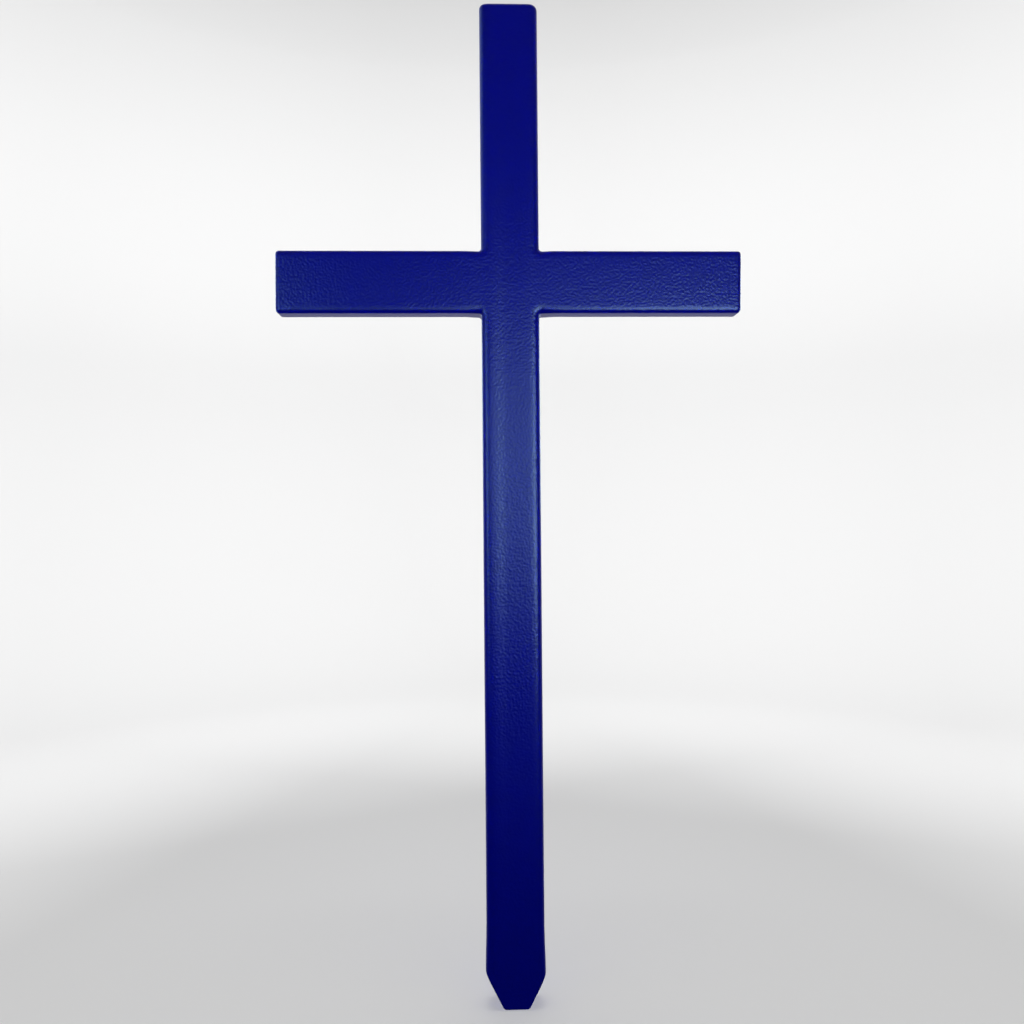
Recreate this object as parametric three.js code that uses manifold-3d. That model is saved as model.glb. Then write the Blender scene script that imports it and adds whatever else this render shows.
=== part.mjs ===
// A steel grave cross: a rectangular-tube upright whose lower end is folded to a
// point, two tube arms welded to its sides, and plates that close the open ends.
// All sizes are in millimetres. +Z is up, +X is to the right, and the front faces -Y.
// The origin lies on the upright's axis at the ground line, so the stake is below it.
import * as THREE from 'three';
import { mergeVertices, toCreasedNormals } from 'three/addons/utils/BufferGeometryUtils.js';
import Module from 'manifold-3d';

// Overall sizes
const heightAboveGround = 650;
const depthInGround = 214;
const armSpan = 401;
const armDrop = 213; // from the upright's top down to the arms' top edge

// Tube sections
const tubeDepth = 25; // front to back, the same for the upright and the arms
const uprightWidth = 50;
const armHeight = 53;
const tubeWall = 3;
const tubeCornerRadius = 6; // outside radius of a tube's four long edges

// End plates and the folded point
const plateThickness = 3;
const groundEdgeRadius = 2; // rim of every plate and of the point, ground smooth
const topCornerRadius = 7; // the two upper corners, seen from the front
const armCornerRadius = 4.5; // the corners of the arms' ends, seen from the front
const pointHalfAngle = 26; // degrees between a slant of the point and the vertical
const pointEndWidth = 20.6; // of the blunt end
const pointOffset = 0.75; // the point was cut this far to the right of the axis
const pointShoulderRadius = 9;
const pointCornerRadius = 2.5;

// Fits
const weldGap = 0.3; // between two pieces that are welded together

// Fineness of the rounded forms
const arcSegments = 8; // along a quarter turn of a section or an outline
const rimSegments = 4; // across a ground rim

// Paint
const ultramarine = 0x04105f;
const paintRoughness = 0.35;

// Places worked out from the sizes above
const topHeight = heightAboveGround;
const tipHeight = -depthInGround;
const armAxisHeight = heightAboveGround - armDrop - armHeight / 2;
const armReach = armSpan / 2;
const plateSeat = plateThickness + weldGap; // from an end back to the tube's cut

// A cavity's round corners keep at least this radius, and flats this length.
const leastSize = 0.2;
// Two normals further apart than this angle, in degrees, meet in a visible edge.
const creaseAngle = 25;

const wasm = await Module();
wasm.setup();

/** The closed solid inside a surface. */
function solidOf(geometry) {
  const bare = geometry.clone();
  bare.deleteAttribute('normal');
  bare.deleteAttribute('uv');
  const merged = mergeVertices(bare);
  const mesh = new wasm.Mesh({
    numProp: 3,
    vertProperties: new Float32Array(merged.attributes.position.array),
    triVerts: new Uint32Array(merged.index.array),
  });
  return new wasm.Manifold(mesh);
}

/** The surface of a closed solid, with smooth normals up to the crease angle. */
function geometryOf(solid) {
  const mesh = solid.getMesh();
  const geometry = new THREE.BufferGeometry();
  geometry.setAttribute('position', new THREE.BufferAttribute(mesh.vertProperties, 3));
  geometry.setIndex(new THREE.BufferAttribute(mesh.triVerts, 1));
  return toCreasedNormals(geometry, THREE.MathUtils.degToRad(creaseAngle));
}

/** The points of one corner of an outline: an arc, or the corner itself if it is sharp. */
function cornerPoints(before, corner, after) {
  const here = new THREE.Vector2(corner.x, corner.y);
  const toBefore = new THREE.Vector2(before.x, before.y).sub(here);
  const toAfter = new THREE.Vector2(after.x, after.y).sub(here);
  const halfAngle = Math.abs(toBefore.angleTo(toAfter)) / 2;
  const room = Math.min(toBefore.length(), toAfter.length()) / 2 - leastSize;
  const radius = Math.min(corner.radius, room * Math.tan(halfAngle));
  if (radius <= 0) {
    return [here];
  }
  const inward = toBefore.normalize().add(toAfter.normalize()).normalize();
  const centre = here.addScaledVector(inward, radius / Math.sin(halfAngle));
  const middle = Math.atan2(-inward.y, -inward.x);
  const halfTurn = Math.PI / 2 - halfAngle;
  const steps = Math.ceil((halfTurn / (Math.PI / 4)) * arcSegments);
  const points = [];
  for (let step = 0; step <= steps; step += 1) {
    const angle = middle + halfTurn * ((2 * step) / steps - 1);
    points.push(new THREE.Vector2(
      centre.x + radius * Math.cos(angle),
      centre.y + radius * Math.sin(angle),
    ));
  }
  return points;
}

/** A convex outline, anticlockwise, whose corners each have a radius of their own. */
function roundedOutline(corners) {
  const count = corners.length;
  const points = corners.flatMap((corner, index) => {
    const before = corners[(index + count - 1) % count];
    const after = corners[(index + 1) % count];
    return cornerPoints(before, corner, after);
  });
  return new THREE.Shape(points);
}

/** A tube's section: a rectangle round the origin with one radius at its corners. */
function tubeSection(width, depth, radius) {
  const corner = (x, y) => ({ x: (x * width) / 2, y: (y * depth) / 2, radius });
  return roundedOutline([corner(-1, -1), corner(1, -1), corner(1, 1), corner(-1, 1)]);
}

/** A section run straight up from one height to another. */
function barAlongZ(section, from, to) {
  const bar = new THREE.ExtrudeGeometry(section, { depth: to - from, bevelEnabled: false });
  bar.translate(0, 0, from);
  return solidOf(bar);
}

/** A section run sideways from one place to another. */
function barAlongX(section, from, to) {
  const bar = new THREE.ExtrudeGeometry(section, { depth: to - from, bevelEnabled: false });
  bar.rotateY(Math.PI / 2);
  bar.translate(from, 0, 0);
  return solidOf(bar);
}

/** A front outline in X and Z given the tube's depth, with a round rim if rim isn't 0. */
function slabAlongY(outline, rim) {
  const slab = new THREE.ExtrudeGeometry(outline, {
    depth: tubeDepth - 2 * rim,
    bevelEnabled: rim > 0,
    bevelThickness: rim,
    bevelSize: rim,
    bevelOffset: -rim,
    bevelSegments: rimSegments,
  });
  slab.translate(0, 0, rim - tubeDepth / 2);
  slab.rotateX(Math.PI / 2);
  return solidOf(slab);
}

/** The stretch of a solid between two places along X, Y or Z. */
function keepBetween(solid, axis, from, to) {
  const reach = 2 * (heightAboveGround + depthInGround + armSpan); // wider than the cross
  const size = new THREE.Vector3(reach, reach, reach);
  const middle = new THREE.Vector3();
  size[axis] = to - from;
  middle[axis] = (from + to) / 2;
  const box = new THREE.BoxGeometry(size.x, size.y, size.z);
  box.translate(middle.x, middle.y, middle.z);
  return solid.intersect(solidOf(box));
}

/** The rim's radius, which can't be larger than the outline's own corners allow. */
function rimFor(...cornerRadii) {
  const limit = Math.min(...cornerRadii, tubeDepth / 2) - leastSize;
  return Math.min(groundEdgeRadius, limit);
}

/** The upright's front outline; with a wall, the outline of the space inside it. */
function uprightOutline(wall) {
  const slope = Math.tan(THREE.MathUtils.degToRad(pointHalfAngle));
  const halfWidth = uprightWidth / 2 - wall;
  const wallAcrossSlant = wall * Math.hypot(1, slope);
  const halfEnd = Math.max(pointEndWidth / 2 - wallAcrossSlant, leastSize);
  // Where the folded walls would meet above the tip, the space ends there.
  const endHeight = tipHeight + (halfEnd - pointEndWidth / 2 + wallAcrossSlant) / slope;
  const shoulderHeight = (side) => endHeight + (halfWidth - halfEnd - side * pointOffset) / slope;
  const radius = (outer) => Math.max(outer - wall, leastSize);
  return roundedOutline([
    { x: pointOffset - halfEnd, y: endHeight, radius: radius(pointCornerRadius) },
    { x: pointOffset + halfEnd, y: endHeight, radius: radius(pointCornerRadius) },
    { x: halfWidth, y: shoulderHeight(1), radius: radius(pointShoulderRadius) },
    { x: halfWidth, y: topHeight, radius: radius(topCornerRadius) },
    { x: -halfWidth, y: topHeight, radius: radius(topCornerRadius) },
    { x: -halfWidth, y: shoulderHeight(-1), radius: radius(pointShoulderRadius) },
  ]);
}

/** An arm's front outline, from the upright's axis to the arm's end. */
function armOutline() {
  return roundedOutline([
    { x: 0, y: -armHeight / 2, radius: 0 },
    { x: armReach, y: -armHeight / 2, radius: armCornerRadius },
    { x: armReach, y: armHeight / 2, radius: armCornerRadius },
    { x: 0, y: armHeight / 2, radius: 0 },
  ]);
}

/** The upright and its two plates as one solid form, before they are parted. */
function uprightForm() {
  const section = tubeSection(uprightWidth, tubeDepth, tubeCornerRadius);
  const bar = barAlongZ(section, tipHeight, topHeight);
  const rim = rimFor(topCornerRadius, pointCornerRadius, pointShoulderRadius);
  return bar.intersect(slabAlongY(uprightOutline(0), rim));
}

/** The space inside the upright, which runs out through both of its cut ends. */
function uprightCavity() {
  const innerRadius = Math.max(tubeCornerRadius - tubeWall, leastSize);
  const innerWidth = uprightWidth - 2 * tubeWall;
  const innerDepth = tubeDepth - 2 * tubeWall;
  const section = tubeSection(innerWidth, innerDepth, innerRadius);
  const bar = barAlongZ(section, tipHeight, topHeight);
  return bar.intersect(slabAlongY(uprightOutline(tubeWall), 0));
}

/** An arm and its end plate as one solid form that starts at the upright's axis. */
function armForm() {
  const section = tubeSection(armHeight, tubeDepth, tubeCornerRadius);
  const bar = barAlongX(section, 0, armReach);
  return bar.intersect(slabAlongY(armOutline(), rimFor(armCornerRadius)));
}

/** The space inside an arm, open towards the upright and towards the end plate. */
function armCavity() {
  const innerRadius = Math.max(tubeCornerRadius - tubeWall, leastSize);
  const innerHeight = armHeight - 2 * tubeWall;
  const innerDepth = tubeDepth - 2 * tubeWall;
  return barAlongX(tubeSection(innerHeight, innerDepth, innerRadius), 0, armReach);
}

/** The upright with the weld gap round it, which shapes the arms' inner ends. */
function uprightWithGap() {
  const width = uprightWidth + 2 * weldGap;
  const depth = tubeDepth + 2 * weldGap;
  const section = tubeSection(width, depth, tubeCornerRadius + weldGap);
  return barAlongZ(section, -armHeight, armHeight);
}

/** A mesh of the painted steel. */
function painted(name, solid) {
  const paint = new THREE.MeshStandardMaterial({
    color: ultramarine,
    roughness: paintRoughness,
    metalness: 0,
  });
  const mesh = new THREE.Mesh(geometryOf(solid), paint);
  mesh.name = name;
  return mesh;
}

/** The upright tube, open at the top and at the blunt end of its point. */
function makeUpright() {
  const tube = uprightForm().subtract(uprightCavity());
  return painted('upright', keepBetween(tube, 'z', tipHeight + plateSeat, topHeight - plateSeat));
}

/** The plate that closes the upright's top. */
function makeTopPlate() {
  const plate = keepBetween(uprightForm(), 'z', topHeight - plateThickness, topHeight);
  return painted('top_end_plate', plate);
}

/** The small plate that closes the blunt end of the point. */
function makePointPlate() {
  const plate = keepBetween(uprightForm(), 'z', tipHeight, tipHeight + plateThickness);
  return painted('point_end_plate', plate);
}

/** One arm tube, shaped at its inner end to the upright's side and rounded edges. */
function makeArm(name) {
  const tube = armForm().subtract(armCavity()).subtract(uprightWithGap());
  return painted(name, keepBetween(tube, 'x', 0, armReach - plateSeat));
}

/** The plate that closes an arm's outer end. */
function makeArmPlate(name) {
  return painted(name, keepBetween(armForm(), 'x', armReach - plateThickness, armReach));
}

/** An arm with its plate, reaching right, or left when it is turned half round. */
function makeSide(side, turn) {
  const group = new THREE.Group();
  group.add(makeArm(`${side}_arm`), makeArmPlate(`${side}_end_plate`));
  group.position.z = armAxisHeight;
  group.rotation.z = turn;
  return group;
}

const cross = new THREE.Group();
cross.add(makeUpright(), makeTopPlate(), makePointPlate());
cross.add(makeSide('right', 0), makeSide('left', Math.PI));

export default cross;
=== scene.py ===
# %% [markdown]
# # A powder-coated steel grave cross
#
# The real cross is welded from rectangular steel tube. Its ends are closed with plates,
# its lower end is folded to a blunt point, the welds are ground flush, and one thick
# coat of deep blue powder is baked over everything. What the eye meets is therefore a
# single skin of paint, with soft edges and no seams. This lesson builds that skin as
# one mesh over the steel's solids, gives it the paint, and puts it in a pale studio.

# %% Load the solids
import math

import bpy
import numpy as np
from mathutils import Matrix, Vector


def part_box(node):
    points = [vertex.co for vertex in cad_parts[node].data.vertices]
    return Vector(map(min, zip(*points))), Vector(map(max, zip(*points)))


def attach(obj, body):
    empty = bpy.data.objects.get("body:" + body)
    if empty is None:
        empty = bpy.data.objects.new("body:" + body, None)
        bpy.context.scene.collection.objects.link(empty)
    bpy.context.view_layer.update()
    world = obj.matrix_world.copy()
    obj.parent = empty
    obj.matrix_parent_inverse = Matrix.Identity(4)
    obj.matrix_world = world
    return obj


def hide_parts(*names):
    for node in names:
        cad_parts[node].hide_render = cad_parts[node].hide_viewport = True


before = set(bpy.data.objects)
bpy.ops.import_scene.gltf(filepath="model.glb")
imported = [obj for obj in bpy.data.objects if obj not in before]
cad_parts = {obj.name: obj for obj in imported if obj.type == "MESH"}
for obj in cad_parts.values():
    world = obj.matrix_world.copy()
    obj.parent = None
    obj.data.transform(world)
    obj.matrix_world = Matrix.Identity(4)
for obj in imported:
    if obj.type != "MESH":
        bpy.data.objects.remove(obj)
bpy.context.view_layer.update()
SOLIDS = list(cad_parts)
print("solids:", ", ".join(SOLIDS))

# %% [markdown]
# ## Sizes
#
# The main sizes are read from the solids, so that the skin fits them by itself. Small
# radii can't be read from a box, so each is named in the step that needs it. Lengths are
# in millimetres until the mesh is made, because that is how a welder thinks. X runs
# across the cross, Z runs up, and the front looks towards minus Y.

# %% Sizes of the cross
MM = 0.001


def box_mm(node):
    """A solid's lowest and highest corner, in millimetres."""
    low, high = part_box(node)
    return np.array(low) / MM, np.array(high) / MM


upright_low, upright_high = box_mm("upright")
arm_low, arm_high = box_mm("right_arm")
HALF_WIDTH = (upright_high[0] - upright_low[0]) / 2
HALF_DEPTH = (upright_high[1] - upright_low[1]) / 2
TOP = box_mm("top_end_plate")[1][2]
TIP = box_mm("point_end_plate")[0][2]
REACH = box_mm("right_end_plate")[1][0]
ARM_HALF_HEIGHT = (arm_high[2] - arm_low[2]) / 2
ARM_AXIS = (arm_high[2] + arm_low[2]) / 2
print(f"upright {2 * HALF_WIDTH:.1f} wide, arms {2 * ARM_HALF_HEIGHT:.1f} high, tip at {TIP:.1f}")

# %% [markdown]
# ## Camera
#
# The photograph was taken from close by with a wide lens, standing a little left of the
# cross and below its arms: the lens looks up at the arms' undersides. The place and the
# turn of the camera were worked out from the outline's corners in the picture. They could
# be set by eye, but then every edge of the model would be judged against a wrong view.

# %% Camera
CAMERA_PLACE = Vector((-22.9, -737.6, 208.9)) * MM
CAMERA_YAW = math.radians(-1.791)
CAMERA_PITCH = math.radians(0.253)
CAMERA_ROLL = math.radians(0.477)
SENSOR_WIDTH = 36.0
PICTURE_WIDTH_PX = 1024
FOCAL_LENGTH_PX = 847
NEAREST_SEEN = 0.01

camera_data = bpy.data.cameras.new("camera")
camera_data.sensor_width = SENSOR_WIDTH
camera_data.lens = SENSOR_WIDTH * FOCAL_LENGTH_PX / PICTURE_WIDTH_PX
camera_data.clip_start = NEAREST_SEEN
camera = bpy.data.objects.new("camera", camera_data)
bpy.context.scene.collection.objects.link(camera)
turn = Matrix.Rotation(CAMERA_YAW, 4, "Z") @ Matrix.Rotation(CAMERA_PITCH, 4, "X")
turn = turn @ Matrix.Rotation(CAMERA_ROLL, 4, "Y") @ Matrix.Rotation(math.pi / 2, 4, "X")
camera.matrix_world = Matrix.Translation(CAMERA_PLACE) @ turn
bpy.context.scene.camera = camera
bpy.context.scene.view_settings.view_transform = "Standard"
print(f"lens {camera_data.lens:.1f} mm")

# %% [markdown]
# ## The form of the skin
#
# A tube cross could be made from bevelled boxes and booleans, but the paint runs over
# every edge with a radius of its own: wide and soft along the tubes, small where plates
# were ground, and hollow where a weld fills an inner corner. A formula says all of that
# at once. It gives, for any point, how far it lies outside the skin (below zero is
# inside). Each helper joins two such distances and rounds the place where they meet.

# %% Rounded meetings of two faces


def round_edge(first, second, radius):
    """Both faces bound the body; their edge is rounded."""
    reach_first = np.maximum(radius + first, 0)
    reach_second = np.maximum(radius + second, 0)
    turned = np.sqrt(reach_first ** 2 + reach_second ** 2)
    return np.minimum(np.maximum(first, second), -radius) + turned


def fill_corner(first, second, radius):
    """Either body counts; the hollow corner between them is filled."""
    left_first = np.maximum(radius - first, 0)
    left_second = np.maximum(radius - second, 0)
    filled = np.sqrt(left_first ** 2 + left_second ** 2)
    return np.maximum(np.minimum(first, second), radius) - filled


def arc_between(radius, turn):
    """What round_edge needs for an arc of this radius where faces turn by this angle."""
    return radius * math.tan(turn / 2) * math.sin(turn)


def smooth_step(low, high, values):
    """0 below low, 1 above high, and a soft curve between."""
    share = np.clip((values - low) / (high - low), 0, 1)
    return share * share * (3 - 2 * share)


a_corner = float(round_edge(0.0, 0.0, 1.0))
print(f"a sharp edge lies {a_corner:.3f} outside its rounded one, for a radius of 1")

# %% [markdown]
# ### Long edges
#
# The long edges are no plain arcs. The shine on them shows that the face starts to turn
# early and slowly, and then runs into the side quickly. A curve between an ellipse and
# a box does that; dividing by its steepness turns it back into a distance. The arms are
# crisper in front than the upright is. At their back the turn is plain and wide, which
# shows from below, where the camera looks along the arms' undersides.

# %% The long edges of the tubes
EDGE_ACROSS = 9.7  # a long edge starts to turn this far from the side face
EDGE_DEEP = 6.0  # and has turned into the side face this far behind the front
EDGE_POWER = 2.7  # 2 would be a plain ellipse; more starts slower and turns tighter
ARM_EDGE_ACROSS = 8.1
ARM_EDGE_POWER = 4.0
ARM_BACK_DEEP = 9.0
ARM_BACK_POWER = 2.0
LEAST_SHARE = 1e-9  # deep inside both shares are 0, and nothing may be divided by 0
LEAST_STEEPNESS = 1e-3


def soften_edge(plan, face, on_arms, at_back):
    """The distance outside the tubes, and how much a point belongs to a side face."""
    width = EDGE_ACROSS + (ARM_EDGE_ACROSS - EDGE_ACROSS) * on_arms
    depth = EDGE_DEEP + (ARM_BACK_DEEP - EDGE_DEEP) * on_arms * at_back
    arm_power = np.where(at_back, ARM_BACK_POWER, ARM_EDGE_POWER)
    power = EDGE_POWER + (arm_power - EDGE_POWER) * on_arms
    across = np.maximum(width + plan, 0) / width
    deep = np.maximum(depth + face, 0) / depth
    side_share = across ** power
    face_share = deep ** power
    both = np.maximum(side_share + face_share, LEAST_SHARE)
    level = both ** (1 / power)
    slope_across = (across / level) ** (power - 1) / width
    slope_deep = (deep / level) ** (power - 1) / depth
    steepness = np.maximum(np.hypot(slope_across, slope_deep), LEAST_STEEPNESS)
    return (level - 1) / steepness, side_share / both


print(f"long edges turn over {EDGE_ACROSS} mm on the upright, {ARM_EDGE_ACROSS} mm on the arms")

# %% [markdown]
# ### Hollows in the faces
#
# Drawn tube is never quite flat. The upright's faces are dished by a few tenths of a
# millimetre, steeper on the left of the middle than on the right, and the shine shows it
# as a lighter band. Where the arms were welded on and ground flush, the grinding disc
# left the faces very slightly hollow. A bump in the material could fake both, but then
# the exported mesh would lack them.

# %% Hollows in the faces
DISH_DEPTH = 0.50
DISH_LEFT, DISH_BOTTOM, DISH_RIGHT = -15.5, -4.5, 19.0
DISH_FADE = 30.0  # the plates and the point held the tube in shape
GRIND_DEPTH = 0.10
GRIND_WIDTH = 7.0
GRIND_INSIDE = 10.0  # the grinding starts to fade this far inside the arms' long edges
GRIND_GONE = 2.0  # and has ended this far inside them


def hollow(x, z):
    """How deep the front and back faces lie below the flat, in millimetres."""
    dish = smooth_step(DISH_LEFT, DISH_BOTTOM, x) * (1 - smooth_step(DISH_BOTTOM, DISH_RIGHT, x))
    from_ends = np.minimum(TOP - z, z - TIP)
    dish = DISH_DEPTH * dish * smooth_step(0, DISH_FADE, from_ends)
    fade_start = ARM_HALF_HEIGHT - GRIND_INSIDE
    fade_end = ARM_HALF_HEIGHT - GRIND_GONE
    beside_arms = 1 - smooth_step(fade_start, fade_end, np.abs(z - ARM_AXIS))
    grind = GRIND_DEPTH * np.exp(-(((np.abs(x) - HALF_WIDTH) / GRIND_WIDTH) ** 2))
    return dish + grind * beside_arms


deepest = float(hollow(np.array(DISH_BOTTOM), np.array(0.0)))
print(f"the upright's face is dished by {deepest:.2f} mm at the ground line")

# %% [markdown]
# ### The plan of the cross
#
# Seen from the front, the cross is two endless strips, one upright and one level, with a
# weld fillet where they meet. The fillet keeps a trace of the bead's ripples. The arms'
# undersides bulge a little, and folding the point pushed the upright's sides out.

# %% The plan
WELD_RADIUS = 2.6  # the fillet in the four inner corners
WELD_RIPPLE = 0.2
WELD_PITCH = 4.2  # from one ripple of the bead to the next
WELD_PHASE = 0.9  # no two neighbouring beads have their ripples at the same depth
ARM_BELLY = 0.7  # the arms' undersides bulge by this
POINT_HALF_ANGLE = math.radians(27)
POINT_END_WIDTH = 21.8
POINT_SPREAD = 0.9  # folding the point pushed the sides out by this at the shoulders
POINT_SPREAD_LENGTH = 45.0
SHOULDER = TIP + (HALF_WIDTH - POINT_END_WIDTH / 2) / math.tan(POINT_HALF_ANGLE)


def cross_plan(points):
    """The distance outside the cross as it is seen from the front."""
    x, y, z = points.T
    corner_phase = WELD_PHASE * np.sign(x * (z - ARM_AXIS))
    ripple = WELD_RIPPLE * np.cos(2 * np.pi * y / WELD_PITCH + corner_phase)
    spread = 1 - smooth_step(SHOULDER, SHOULDER + POINT_SPREAD_LENGTH, z)
    side = np.abs(x) - HALF_WIDTH - POINT_SPREAD * spread
    belly = ARM_BELLY * (z < ARM_AXIS)
    level = np.abs(z - ARM_AXIS) - ARM_HALF_HEIGHT - belly
    return fill_corner(side, level, WELD_RADIUS + ripple)


print(f"the point starts {SHOULDER - TIP:.1f} mm above the tip")

# %% [markdown]
# ### The ends
#
# Six flat cuts end the strips: the top, the two arm ends, the two slants and the tip.
# On the real cross they are plates and folded walls, ground by hand, so each has its own
# radii: a small rim towards the front and back, and a wider corner towards a side face.
# Both arm ends share one formula, and the blunt tip is cut last, in the next step.

# %% The end cuts
RIM_RADIUS = 2.0  # the point, where it was ground
ARM_RIM_RADIUS = 3.0  # the plates on the arms' ends
TOP_RIM_RADIUS = 3.3
TOP_LEFT_RADIUS = 4.0  # the top was rounded by hand, one corner more than the other
TOP_RIGHT_RADIUS = 5.5
ARM_CORNER_RADIUS = 3.0
RIGHT_END_LEAN = 0.8  # the right end was sawn this much out of square
POINT_OFFSET = 0.75  # the tip was folded this much off the middle
SHOULDER_RADIUS = 10.0
SHOULDER_ARC = arc_between(SHOULDER_RADIUS, POINT_HALF_ANGLE)


def end_cuts(points):
    """Each flat cut: the distance outside it, its rim, and its corner seen from the front."""
    x, _, z = points.T
    cosine = math.cos(POINT_HALF_ANGLE)
    sine = math.sin(POINT_HALF_ANGLE)
    half_end = POINT_END_WIDTH / 2
    right_slant = (x - POINT_OFFSET - half_end) * cosine - (z - TIP) * sine
    left_slant = (POINT_OFFSET - half_end - x) * cosine - (z - TIP) * sine
    top_corner = np.where(x < 0, TOP_LEFT_RADIUS, TOP_RIGHT_RADIUS)
    below_arm_top = np.clip((ARM_AXIS - z) / ARM_HALF_HEIGHT + 1, 0, 2) / 2
    right_lean = RIGHT_END_LEAN * below_arm_top * (x > 0)
    return [
        (z - TOP, TOP_RIM_RADIUS, top_corner),
        (np.abs(x) + right_lean - REACH, ARM_RIM_RADIUS, ARM_CORNER_RADIUS),
        (right_slant, RIM_RADIUS, SHOULDER_ARC),
        (left_slant, RIM_RADIUS, SHOULDER_ARC),
    ]


print(len(end_cuts(np.zeros((1, 3)))), "formulas for the first five cuts")

# %% [markdown]
# ### All of it together
#
# The plan gets the tube's thickness and its soft long edges, and the cuts end it. The
# way straight out of the skin is the steepest rise of this distance. It could be worked
# out on paper, but two tiny steps along each axis give it for any formula.

# %% The skin as one formula
ARM_BLEND = 15.0  # the edges' shape changes over this length beside the upright
POINT_CORNER_RADIUS = 3.5
POINT_CORNER_ARC = arc_between(POINT_CORNER_RADIUS, math.pi / 2 - POINT_HALF_ANGLE)
PROBE_STEP = 0.02


def outside_skin(points):
    """How far each point lies outside the painted skin."""
    x, y, z = points.T
    face = np.abs(y) - HALF_DEPTH + hollow(x, z)
    on_arms = smooth_step(HALF_WIDTH, HALF_WIDTH + ARM_BLEND, np.abs(x))
    body, sideness = soften_edge(cross_plan(points), face, on_arms, y > 0)
    for cut, rim, corner in end_cuts(points):
        body = round_edge(body, cut, rim + (corner - rim) * sideness)
    return round_edge(body, TIP - z, POINT_CORNER_ARC)


def outward(points):
    """The direction straight out of the skin, from small steps along each axis."""
    slopes = []
    for axis in np.eye(3):
        ahead = outside_skin(points + PROBE_STEP * axis)
        behind = outside_skin(points - PROBE_STEP * axis)
        slopes.append((ahead - behind) / (2 * PROBE_STEP))
    return np.stack(slopes, axis=1)


probe = np.array([[0.0, -HALF_DEPTH - 1.0, 0.0]])
print(f"1 mm in front of the steel, the skin is {outside_skin(probe)[0]:.2f} mm away")

# %% [markdown]
# ## A grid of points to lay on the form
#
# Remeshing the formula with voxels would give even faces, too coarse for the small rims
# and wasteful on the flats. Instead a sharp-edged cross is divided by lines that stand
# close together near every edge and far apart on the flats. Later each of its points is
# moved straight onto the formula's surface, so the grid's rows follow the edges.

# %% Grid lines
FLAT_STEP = 3.0
DISH_STEP = 1.5  # finer across the upright, where the faces are dished
EDGE_STEPS = (0, 0.5, 1.1, 1.8, 2.6, 3.5, 4.5, 5.7, 7.1, 9.0)  # from an edge inwards
WELD_STEPS = (0, 0.6, 1.2, 1.9, 2.6, 3.4, 4.4, 6.0)  # from an inner corner outwards
SHOULDER_STEPS = (0, 0.6, 1.2, 1.8, 2.4, 3.2, 4.4)
ARM_TOP = ARM_AXIS + ARM_HALF_HEIGHT
ARM_BOTTOM = ARM_AXIS - ARM_HALF_HEIGHT


def lines_between(start, end, from_start=(0,), from_end=(0,), step=FLAT_STEP):
    """Places from start to end: close near the ends as given, even in between."""
    first = [start + distance for distance in from_start]
    last = [end - distance for distance in reversed(from_end)]
    count = max(1, round((last[0] - first[-1]) / step))
    middle = np.linspace(first[-1], last[0], count + 1)[1:-1]
    return np.concatenate([first, middle, last])


across_upright = lines_between(-HALF_WIDTH, HALF_WIDTH, EDGE_STEPS, EDGE_STEPS, DISH_STEP)
along_arm = lines_between(HALF_WIDTH, REACH, WELD_STEPS, EDGE_STEPS)
x_lines = np.concatenate([-along_arm[::-1], across_upright[1:-1], along_arm])
the_point = lines_between(TIP, SHOULDER, EDGE_STEPS, SHOULDER_STEPS)
below_arms = lines_between(SHOULDER, ARM_BOTTOM, SHOULDER_STEPS, WELD_STEPS)
across_arm = lines_between(ARM_BOTTOM, ARM_TOP, EDGE_STEPS, EDGE_STEPS)
above_arms = lines_between(ARM_TOP, TOP, WELD_STEPS, EDGE_STEPS)
z_lines = np.concatenate([the_point, below_arms[1:], across_arm[1:-1], above_arms])
print(f"{len(x_lines)} lines across and {len(z_lines)} lines up")

# %% [markdown]
# Through the thickness the lines crowd only a little towards the faces. The side walls
# are round over most of their depth, so they need points everywhere.

# %% Grid lines through the thickness
DEPTH_DIVISIONS = 32
CROWDING = 0.35  # 0 would space the lines evenly

crowded = 0.5 * (1 - np.cos(np.linspace(0, np.pi, DEPTH_DIVISIONS + 1)))
even = np.linspace(0, 1, DEPTH_DIVISIONS + 1)
y_lines = HALF_DEPTH * (2 * (CROWDING * crowded + (1 - CROWDING) * even) - 1)
print(f"{len(y_lines)} lines through the thickness")

# %% [markdown]
# ### The sharp cross
#
# The surface of the sharp cross is found cell by cell: a face is kept wherever a filled
# cell of the grid has an empty neighbour. The rows of the point are narrowed to the
# slants before the points are moved, so no row has to travel far.

# %% Faces of the sharp cross


def filled_cells():
    """Which cells between the lines lie inside the cross, in x and z."""
    x_middle = (x_lines[1:] + x_lines[:-1]) / 2
    z_middle = (z_lines[1:] + z_lines[:-1]) / 2
    in_upright = np.abs(x_middle)[:, None] < HALF_WIDTH
    in_arms = np.abs(z_middle - ARM_AXIS)[None, :] < ARM_HALF_HEIGHT
    return in_upright | in_arms


def surface_faces(filled):
    """Four grid places for every outer face, anticlockwise from outside."""
    columns, rows = filled.shape
    last = len(y_lines) - 1
    found = []
    for i, k in np.argwhere(filled).tolist():
        right, above = i + 1, k + 1
        found.append([(i, 0, k), (right, 0, k), (right, 0, above), (i, 0, above)])
        found.append([(i, last, k), (i, last, above), (right, last, above), (right, last, k)])
        open_left = i == 0 or not filled[i - 1, k]
        open_right = right == columns or not filled[right, k]
        open_below = k == 0 or not filled[i, k - 1]
        open_above = above == rows or not filled[i, above]
        for j in range(last):
            back = j + 1
            if open_left:
                found.append([(i, j, k), (i, j, above), (i, back, above), (i, back, k)])
            if open_right:
                found.append([(right, j, k), (right, back, k),
                              (right, back, above), (right, j, above)])
            if open_below:
                found.append([(i, j, k), (i, back, k), (right, back, k), (right, j, k)])
            if open_above:
                found.append([(i, j, above), (right, j, above),
                              (right, back, above), (i, back, above)])
    return found


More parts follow.
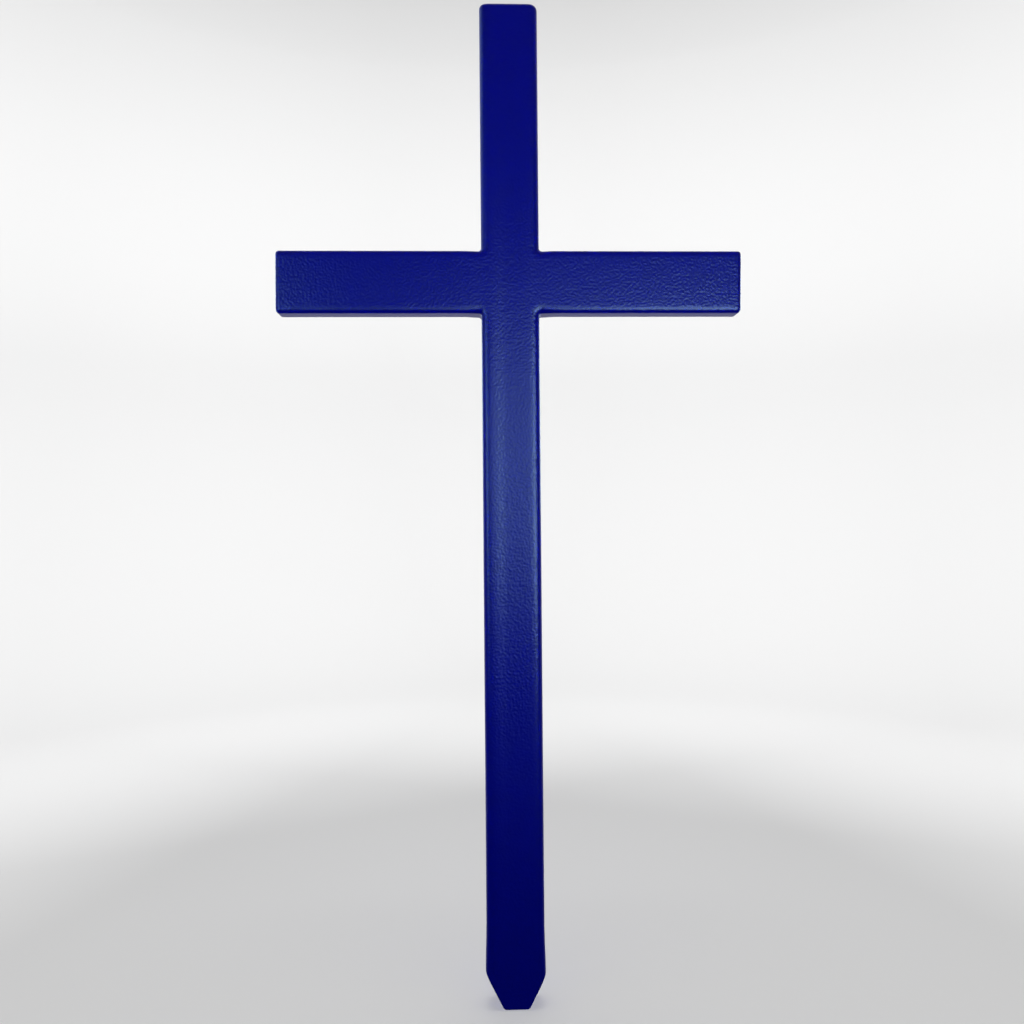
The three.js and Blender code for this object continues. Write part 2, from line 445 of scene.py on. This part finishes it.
faces = surface_faces(filled_cells())
print(len(faces), "faces on the sharp cross")

# %% [markdown]
# Neighbouring faces share their corners, so each grid place becomes one point, numbered
# in the order in which the faces name it.

# %% Points of the sharp cross


def sharp_place(corner):
    """A grid place in millimetres, narrowed to the slants in the point."""
    i, j, k = corner
    x, y, z = x_lines[i], y_lines[j], z_lines[k]
    if z < SHOULDER and abs(x) <= HALF_WIDTH:
        above_tip = (z - TIP) / (SHOULDER - TIP)
        half = POINT_END_WIDTH / 2 + above_tip * (HALF_WIDTH - POINT_END_WIDTH / 2)
        x = x * half / HALF_WIDTH + POINT_OFFSET * (1 - above_tip)
    return x, y, z


corner_numbers = {}
for face in faces:
    for corner in face:
        corner_numbers.setdefault(corner, len(corner_numbers))
sharp_points = np.array([sharp_place(corner) for corner in corner_numbers])
numbered_faces = [[corner_numbers[corner] for corner in face] for face in faces]
print(len(sharp_points), "points on the sharp cross")

# %% [markdown]
# ## Laying the grid on the form
#
# Each point walks along the outward direction by its distance, again and again, until
# it lies on the skin. Eight steps are plenty: the distances are nearly true ones. The
# Shrinkwrap modifier does the same walk onto a mesh, but here the target is a formula.

# %% Move the points onto the skin
SNAP_STEPS = 8
LEAST_SLOPE = 0.05  # no point jumps far where the distance hardly changes

skin_points = sharp_points.copy()
for _ in range(SNAP_STEPS):
    slopes = outward(skin_points)
    steepness = np.maximum((slopes ** 2).sum(axis=1), LEAST_SLOPE)
    skin_points -= slopes * (outside_skin(skin_points) / steepness)[:, None]
print(f"farthest point from the skin: {np.abs(outside_skin(skin_points)).max():.4f} mm")

# %% [markdown]
# ## The painted cross as an object
#
# The points and faces become one Blender mesh, in metres. The paint has no seams, so one
# piece stands for all seven solids of steel. Smooth shading is enough for its edges,
# because their roundness is in the mesh.

# %% Painted cross
mesh = bpy.data.meshes.new("painted_cross")
mesh.from_pydata((skin_points * MM).tolist(), [], numbered_faces)
mesh.validate()
mesh.shade_smooth()
painted_cross = bpy.data.objects.new("painted_cross", mesh)
bpy.context.scene.collection.objects.link(painted_cross)
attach(painted_cross, "root")
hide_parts(*SOLIDS)
print(f"painted cross: {len(mesh.vertices)} points, {len(mesh.polygons)} faces")

# %% [markdown]
# ## Colours and nodes
#
# Paint makers give colours as hex values for the screen, while the renderer counts
# light. One function turns the first into the second. A second small function adds a
# shader node, sets its inputs and links what is given as another node's output.

# %% Helpers for colours and nodes


def linear(hex_colour):
    """An sRGB hex colour such as "#0a1b2c" as linear red, green, blue and alpha."""
    channels = [int(hex_colour[i:i + 2], 16) / 255 for i in (1, 3, 5)]
    light = [c / 12.92 if c <= 0.04045 else ((c + 0.055) / 1.055) ** 2.4 for c in channels]
    return (*light, 1.0)


def add_node(tree, kind, inputs=None, **settings):
    """A new node with its settings; an input is a value or another node's output."""
    node = tree.nodes.new(kind)
    for name, value in settings.items():
        setattr(node, name, value)
    for name, value in (inputs or {}).items():
        if isinstance(value, bpy.types.NodeSocket):
            tree.links.new(value, node.inputs[name])
        else:
            node.inputs[name].default_value = value
    return node


print(f"a middle grey of #808080 is {linear('#808080')[0]:.3f} in light")

# %% [markdown]
# ## Powder coat
#
# Powder coat is polyester dust, sprayed on dry and melted in an oven. It is thicker
# than wet paint, so it hides seams, and it sets with a fine pebbled skin called orange
# peel, a few millimetres from bump to bump. It isn't a metal: light sinks in and comes
# back deep blue, and a satin gloss lies on top. The gloss and the blue change a little
# with the coat's thickness. Polyester bends light by about 1.5, which is the shader's
# own IOR, so that stays as it is.

# %% Sizes of the powder coat
COAT_BLUE = "#010577"  # a deep ultramarine
BLUE_SPREAD = 0.06  # thin and thick places are at most this share lighter or darker
THICKNESS_PATCH_MM = 16.0
GLOSSY_ROUGHNESS = 0.276  # satin; below 0.274 the denoiser would show the patches' borders
DULL_ROUGHNESS = 0.296
NOISE_LOW, NOISE_HIGH = 0.1, 0.9  # the noise stays inside these, so no patch gets a hard edge
PEEL_SPACING_MM = 2.1
PEEL_HEIGHT_MM = 0.26  # real peel is much flatter; it is drawn this high so that it shows
PEEL_DETAIL = 0.5
SAG_SPACING_MM = 13.0  # the melt also flowed into wide, low waves
SAG_HEIGHT_MM = 0.12
print(f"a bump of the peel every {PEEL_SPACING_MM} mm, a wave every {SAG_SPACING_MM} mm")

# %% [markdown]
# Two noises make the height, the peel and the wide waves, and their sum drives one Bump
# node, in real millimetres. A third noise is the coat's thickness. The same patches
# change the blue and the gloss, because on the real coat both have that one cause. All
# noises read the object's own coordinates, so they stay on the cross in every view.

# %% Powder coat material


def powder_coat():
    """Satin ultramarine polyester powder coat with orange peel."""
    material = bpy.data.materials.new("ultramarine_powder_coat")
    material.use_nodes = True
    tree = material.node_tree
    tree.nodes.clear()
    surface_places = add_node(tree, "ShaderNodeTexCoord").outputs["Object"]
    thickness = add_node(tree, "ShaderNodeTexNoise", {
        "Vector": surface_places,
        "Scale": 1 / (THICKNESS_PATCH_MM * MM),
        "Detail": 1.0,
    }).outputs["Fac"]
    lightness = add_node(tree, "ShaderNodeMapRange", {
        "Value": thickness,
        "From Min": NOISE_LOW,
        "From Max": NOISE_HIGH,
        "To Min": 1 - BLUE_SPREAD,
        "To Max": 1 + BLUE_SPREAD,
    })
    blue = add_node(tree, "ShaderNodeHueSaturation", {
        "Color": linear(COAT_BLUE),
        "Value": lightness.outputs["Result"],
    })
    gloss = add_node(tree, "ShaderNodeMapRange", {
        "Value": thickness,
        "From Min": NOISE_LOW,
        "From Max": NOISE_HIGH,
        "To Min": DULL_ROUGHNESS,
        "To Max": GLOSSY_ROUGHNESS,
    })
    sag = add_node(tree, "ShaderNodeTexNoise", {
        "Vector": surface_places,
        "Scale": 1 / (SAG_SPACING_MM * MM),
        "Detail": 0.0,
    })
    peel = add_node(tree, "ShaderNodeTexNoise", {
        "Vector": surface_places,
        "Scale": 1 / (PEEL_SPACING_MM * MM),
        "Detail": PEEL_DETAIL,
    })
    height = 0.0
    for layer, layer_height in ((sag, SAG_HEIGHT_MM), (peel, PEEL_HEIGHT_MM)):
        height = add_node(tree, "ShaderNodeMath", {
            0: layer.outputs["Fac"],
            1: layer_height,
            2: height,
        }, operation="MULTIPLY_ADD").outputs["Value"]
    bump = add_node(tree, "ShaderNodeBump", {"Height": height, "Distance": MM})
    coat = add_node(tree, "ShaderNodeBsdfPrincipled", {
        "Base Color": blue.outputs["Color"],
        "Roughness": gloss.outputs["Result"],
        "Normal": bump.outputs["Normal"],
    })
    add_node(tree, "ShaderNodeOutputMaterial", {"Surface": coat.outputs["BSDF"]})
    return material


mesh.materials.append(powder_coat())
print("powder coat on the cross")

# %% [markdown]
# ## The studio
#
# The cross stands in a pale round cove. A floor and a wall would meet in a line behind
# the cross; a cove sweeps up without one, so no horizon shows from any side. It is a
# profile spun round the middle, ring by ring. The tip almost touches its floor.

# %% Shape of the cove
COVE_RADIUS = 2.2
COVE_SWEEP = 0.9
COVE_HEIGHT = 3.2
COVE_SIDES = 96
SWEEP_STEPS = 12
FLOOR_GAP_MM = 0.4
FLOOR_RING = 0.5  # one ring of points on the flat floor, for even faces
FLOOR = (TIP - FLOOR_GAP_MM) * MM


def cove_profile():
    """The cove's outline from its middle outwards, as pairs of radius and height."""
    profile = [(0.0, FLOOR), (FLOOR_RING, FLOOR), (COVE_RADIUS - COVE_SWEEP, FLOOR)]
    for step in range(1, SWEEP_STEPS + 1):
        angle = step / SWEEP_STEPS * math.pi / 2
        out = COVE_RADIUS - COVE_SWEEP + COVE_SWEEP * math.sin(angle)
        profile.append((out, FLOOR + COVE_SWEEP * (1 - math.cos(angle))))
    profile.append((COVE_RADIUS, COVE_HEIGHT))
    return profile


def pale_cove():
    """A round floor that sweeps up into a wall."""
    profile = cove_profile()
    vertices = [(0.0, 0.0, FLOOR)]
    for out, height in profile[1:]:
        for side in range(COVE_SIDES):
            angle = 2 * math.pi * side / COVE_SIDES
            vertices.append((out * math.cos(angle), out * math.sin(angle), height))
    panes = []
    for side in range(COVE_SIDES):
        after = (side + 1) % COVE_SIDES
        panes.append((0, 1 + side, 1 + after))
        for ring in range(len(profile) - 2):
            low = 1 + ring * COVE_SIDES
            high = low + COVE_SIDES
            panes.append((low + side, high + side, high + after, low + after))
    cove_mesh = bpy.data.meshes.new("pale_cove")
    cove_mesh.from_pydata(vertices, [], panes)
    cove_mesh.shade_smooth()
    made = bpy.data.objects.new("pale_cove", cove_mesh)
    bpy.context.scene.collection.objects.link(made)
    return made


cove = pale_cove()
print(f"cove of {COVE_RADIUS} m radius with {len(cove.data.polygons)} faces")

# %% [markdown]
# The cove is painted with matt wall paint. It sends no light back to the cross: its
# colour would wash out the deep blue, and the cross has panels of its own.

# %% Matt wall paint
WALL_WHITE = "#e8e8e8"
WALL_ROUGHNESS = 0.9

cove_paint = bpy.data.materials.new("matt_white_wall_paint")
cove_paint.use_nodes = True
cove_surface = cove_paint.node_tree.nodes["Principled BSDF"]
cove_surface.inputs["Base Color"].default_value = linear(WALL_WHITE)
cove_surface.inputs["Roughness"].default_value = WALL_ROUGHNESS
cove.data.materials.append(cove_paint)
cove.visible_glossy = False
cove.visible_diffuse = False
cove.visible_shadow = False
print("cove painted")

# %% [markdown]
# ## Light
#
# The shine on the upright fades towards both ends, and the right edges carry the
# brightest line, so the main light is a soft panel close to the camera, a little right.
# A weaker one fills the middle, one stands far left, and a large one hangs high on the
# left for the top edges. Places and sizes are in metres, powers in watts. The tints are
# bluish, because the shine on the real cross is a pale blue and not white.

# %% Panels in front
MAIN_TINT = "#b0d9ff"
MIDDLE_TINT = "#bce7ff"
SIDE_TINT = "#a6d9ff"  # for the lights at the left and behind
PLAIN_WHITE = "#ffffff"
MIDDLE_OF_CROSS = (0.0, 0.0, 0.25)
BELOW_MIDDLE = (0.0, 0.0, 0.20)
PANEL_DISTANCE = -0.80


def soft_panel(name, place, size, power, colour=PLAIN_WHITE, aim=BELOW_MIDDLE):
    """An area light at a place, turned to what it lights."""
    data = bpy.data.lights.new(name, "AREA")
    data.shape = "ELLIPSE"
    data.size, data.size_y = size
    data.energy = power
    data.color = linear(colour)[:3]
    panel = bpy.data.objects.new(name, data)
    bpy.context.scene.collection.objects.link(panel)
    panel.location = place
    direction = Vector(aim) - Vector(place)
    panel.rotation_euler = direction.to_track_quat("-Z", "Y").to_euler()
    panel.visible_camera = False
    return panel


shining = [
    soft_panel("main_light", place=(0.374, PANEL_DISTANCE, 0.258), size=(0.342, 0.532),
               power=3.30, colour=MAIN_TINT, aim=MIDDLE_OF_CROSS),
    soft_panel("middle_light", place=(0.069, PANEL_DISTANCE, 0.315), size=(0.486, 0.494),
               power=0.98, colour=MIDDLE_TINT, aim=MIDDLE_OF_CROSS),
    soft_panel("left_light", place=(-0.597, PANEL_DISTANCE, 0.351), size=(0.476, 0.638),
               power=2.05, colour=SIDE_TINT, aim=MIDDLE_OF_CROSS),
    soft_panel("high_left_light", place=(-1.3, -0.1, 1.25), size=(1.4, 1.4),
               power=5.0, colour=SIDE_TINT, aim=MIDDLE_OF_CROSS),
]
print(len(shining), "panels in front")

# %% [markdown]
# Paint this dark needs much light to look blue at all, but more light from the panels
# would only add shine. So some panels light the paint's colour and leave no reflection:
# two flat ones in front, with a narrow beam, and five around the sides and the back.

# %% Panels that leave no shine
FILL_TINT = "#bfe7ff"
FILL_SIZE = (0.9, 0.2)
FILL_BEAM = math.radians(53)
LOW_FILL_HEIGHT = 0.19
HIGH_FILL_HEIGHT = 0.60

low_fill = soft_panel("low_fill", place=(0.0, PANEL_DISTANCE, LOW_FILL_HEIGHT), size=FILL_SIZE,
                      power=0.31, colour=FILL_TINT, aim=(0.0, 0.0, LOW_FILL_HEIGHT))
high_fill = soft_panel("high_fill", place=(0.0, PANEL_DISTANCE, HIGH_FILL_HEIGHT), size=FILL_SIZE,
                       power=0.33, colour=FILL_TINT, aim=(0.0, 0.0, HIGH_FILL_HEIGHT))
low_fill.data.spread = FILL_BEAM
high_fill.data.spread = FILL_BEAM
fills = [
    low_fill,
    high_fill,
    soft_panel("floor_bounce", place=(0.0, 0.5, -0.6), size=(1.4, 0.8), power=9.0,
               colour=FILL_TINT, aim=(0.0, 0.3, 0.4)),
    soft_panel("back_fill", place=(0.0, 1.4, 0.4), size=(1.6, 1.2), power=6.0, colour=FILL_TINT),
    soft_panel("left_fill", place=(-1.3, 0.5, 0.4), size=(0.8, 1.0), power=9.0, colour=FILL_TINT),
    soft_panel("right_fill", place=(1.3, 0.5, 0.4), size=(0.8, 1.0), power=9.0, colour=FILL_TINT),
    soft_panel("top_fill", place=(0.0, 0.5, 1.6), size=(0.8, 0.8), power=6.0, colour=FILL_TINT),
]
for fill in fills:
    fill.visible_glossy = False
    fill.data.cycles.use_multiple_importance_sampling = False
print(len(fills), "panels leave no shine")

# %% [markdown]
# The back would look flat without a shine of its own, so three small panels stand behind
# the cross. Light linking then keeps every panel's light on the cross alone, so that the
# cove can be lit on its own terms.

# %% Panels behind, and what all panels light
REAR_OUT = 0.75  # far enough out that no glint reaches the front
REAR_SIZE = (0.35, 0.6)
REAR_POWER = 2.8

shining += [
    soft_panel("rear_left_light", place=(-REAR_OUT, 0.8, 0.45), size=REAR_SIZE,
               power=REAR_POWER, colour=SIDE_TINT, aim=MIDDLE_OF_CROSS),
    soft_panel("rear_right_light", place=(REAR_OUT, 0.8, 0.45), size=REAR_SIZE,
               power=REAR_POWER, colour=SIDE_TINT, aim=MIDDLE_OF_CROSS),
    soft_panel("rear_high_light", place=(0.0, 0.9, 0.75), size=(0.5, 0.3),
               power=1.5, colour=SIDE_TINT, aim=MIDDLE_OF_CROSS),
]
cross_only = bpy.data.collections.new("lit_by_the_panels")
cross_only.objects.link(painted_cross)
for panel in shining + fills:
    panel.light_linking.receiver_collection = cross_only
print(len(shining + fills), "panels light the cross")

# %% [markdown]
# The cove has lamps of its own. A ring of wall washers lights the wall evenly, and one
# soft lamp overhead lights the floor and gives the contact shadow under the point. Most
# of its light comes from a twin that casts no shadow, so the shadow stays faint.

# %% Lamps for the cove
WASHERS = 8
WASHER_RADIUS = 0.5
WASHER_HEIGHT = 0.9
WASHER_SIZE = (0.4, 0.4)
WASHER_POWER = 10.9
OVERHEAD_PLACE = (0.0, 0.0, 2.9)
OVERHEAD_SIZE = (1.6, 1.6)
OVERHEAD_POWER = 78.5
SHADOW_SHARE = 0.35  # this much of the overhead light casts the shadow

overhead_lamp = soft_panel("overhead_lamp", OVERHEAD_PLACE, OVERHEAD_SIZE,
                           OVERHEAD_POWER * SHADOW_SHARE)
shadowless_lamp = soft_panel("shadowless_lamp", OVERHEAD_PLACE, OVERHEAD_SIZE,
                             OVERHEAD_POWER * (1 - SHADOW_SHARE))
shadowless_lamp.data.use_shadow = False
cove_lamps = [overhead_lamp, shadowless_lamp]
for number in range(WASHERS):
    angle = 2 * math.pi * (number + 0.5) / WASHERS
    out = Vector((math.cos(angle), math.sin(angle), 0))
    washer_place = out * WASHER_RADIUS + Vector((0, 0, WASHER_HEIGHT))
    wall_spot = out * COVE_RADIUS + Vector((0, 0, WASHER_HEIGHT))
    washer_name = f"wall_washer_{number + 1}"
    cove_lamps.append(soft_panel(washer_name, washer_place, WASHER_SIZE, WASHER_POWER,
                                 aim=wall_spot))
cove_only = bpy.data.collections.new("lit_by_the_cove_lamps")
cove_only.objects.link(cove)
for lamp in cove_lamps:
    lamp.light_linking.receiver_collection = cove_only
print(len(cove_lamps), "lamps light the cove")

# %% [markdown]
# ## World
#
# Gloss needs a room to mirror. The world is that room, seen only in reflections: dark in
# front and below, paler overhead and behind. That gives the thin light lines along the
# edges, where the paint turns away from the camera. An image of a room could do the
# same, but three soft ramps are enough for a satin coat.

# %% World
BEHIND_GLOW = 0.75
DARKEST_GLOW = 0.003
OVERHEAD_GLOW = 0.12

world = bpy.data.worlds.new("room")
bpy.context.scene.world = world
world.use_nodes = True
world.cycles_visibility.diffuse = False
room = world.node_tree
room.nodes.clear()
view_ways = add_node(room, "ShaderNodeTexCoord")
way_parts = add_node(room, "ShaderNodeSeparateXYZ", {"Vector": view_ways.outputs["Generated"]})
behind = add_node(room, "ShaderNodeMapRange", {
    "Value": way_parts.outputs["Y"],
    "From Min": -0.5,
    "From Max": 0.6,
    "To Min": 0.0,
    "To Max": BEHIND_GLOW,
}, interpolation_type="SMOOTHSTEP")
above_floor = add_node(room, "ShaderNodeMapRange", {
    "Value": way_parts.outputs["Z"],
    "From Min": -0.55,
    "From Max": -0.25,
}, interpolation_type="SMOOTHSTEP")
overhead_glow = add_node(room, "ShaderNodeMapRange", {
    "Value": way_parts.outputs["Z"],
    "From Min": 0.1,
    "From Max": 0.9,
    "To Min": DARKEST_GLOW,
    "To Max": OVERHEAD_GLOW,
}, interpolation_type="SMOOTHSTEP")
glow = add_node(room, "ShaderNodeMath", {
    0: behind.outputs["Result"],
    1: above_floor.outputs["Result"],
    2: overhead_glow.outputs["Result"],
}, operation="MULTIPLY_ADD")
surround = add_node(room, "ShaderNodeBackground", {"Strength": glow.outputs["Value"]})
add_node(room, "ShaderNodeOutputWorld", {"Surface": surround.outputs["Background"]})
print(f"a room of {len(room.nodes)} nodes, {BEHIND_GLOW} bright at the most behind the cross")
